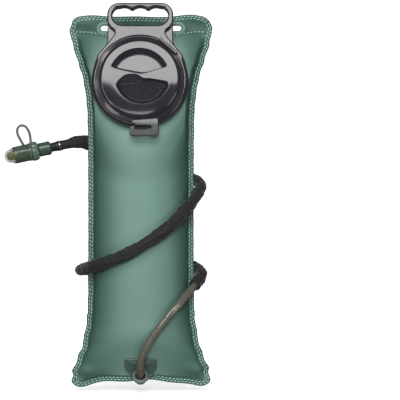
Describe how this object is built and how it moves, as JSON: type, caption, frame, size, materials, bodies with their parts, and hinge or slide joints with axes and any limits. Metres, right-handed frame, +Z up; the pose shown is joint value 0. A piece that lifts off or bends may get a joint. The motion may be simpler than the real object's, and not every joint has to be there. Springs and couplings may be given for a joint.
{
  "type": "hydration bladder",
  "caption": "Flat welded water bag with a wide screw-cap fill port, carrying handle, bottom outlet and a sleeved drinking tube wound round it to a capped bite valve.",
  "frame": {"origin": "midway between the two hanging slots of the header, in the plane where the two films are welded together", "axes": "+Z up along the hanging bag, -Y out of the face that carries the fill port, +X to the right seen from that face"},
  "size_m": [0.2342, 0.1231, 0.4273],
  "materials": {
    "film": "satin translucent green film",
    "dark_plastic": "polished smoke-black moulding",
    "flange_green": "satin dark green moulding",
    "fitting_green": "satin olive-green moulding",
    "clear_green": "glossy translucent green moulding",
    "olive_silicone": "soft olive silicone",
    "smoke_tube": "glossy smoke-brown flexible tube",
    "black_rubber": "matt black rubber",
    "grey_rubber": "satin grey-green rubber",
    "sleeve_knit": "black knit over foam",
    "band_silver": "bright crimped band"
  },
  "bodies": {
    "root": {"front_film": "film", "back_film": "film", "fill_neck": "dark_plastic", "handle_frame": "dark_plastic", "outlet_flange": "flange_green", "outlet_o_ring": "black_rubber", "outlet_elbow": "fitting_green", "elbow_seal_ring": "black_rubber", "drinking_tube": "smoke_tube", "insulating_sleeve": "sleeve_knit", "sleeve_band": "band_silver", "valve_stem": "black_rubber", "valve_housing": "fitting_green", "valve_o_ring": "black_rubber"},
    "cap_tether": {"tether_ring": "dark_plastic", "tether_strap": "dark_plastic"},
    "cap": {"screw_cap": "dark_plastic", "cap_gasket": "grey_rubber"},
    "valve_head": {"twist_collar": "fitting_green", "mouthpiece": "olive_silicone", "lanyard_loop": "grey_rubber"},
    "cover": {"dust_cover": "clear_green"}
  },
  "joints": [
    {"name": "cap_rise", "type": "slide", "parent": "root", "child": "cap_tether", "axis": [0, -0.9781, 0.2079], "range_m": [0, 0.009]},
    {"name": "cap_turn", "type": "hinge", "parent": "cap_tether", "child": "cap", "pos_m": [0, -0.034, -0.0624], "axis": [0, -0.9781, 0.2079], "range_deg": [0, 540]},
    {"name": "shutoff_turn", "type": "hinge", "parent": "root", "child": "valve_head", "pos_m": [-0.0985, 0.029, -0.1318], "axis": [-0.9568, -0.1984, -0.2126], "range_deg": [0, 90]},
    {"name": "cover_pull", "type": "slide", "parent": "valve_head", "child": "cover", "axis": [-0.9568, -0.1984, -0.2126], "range_m": [0, 0.034]}
  ],
  "couplings": [
    {"joint": "cap_rise", "follows": "cap_turn", "m_per_rad": 0.000954}
  ]
}
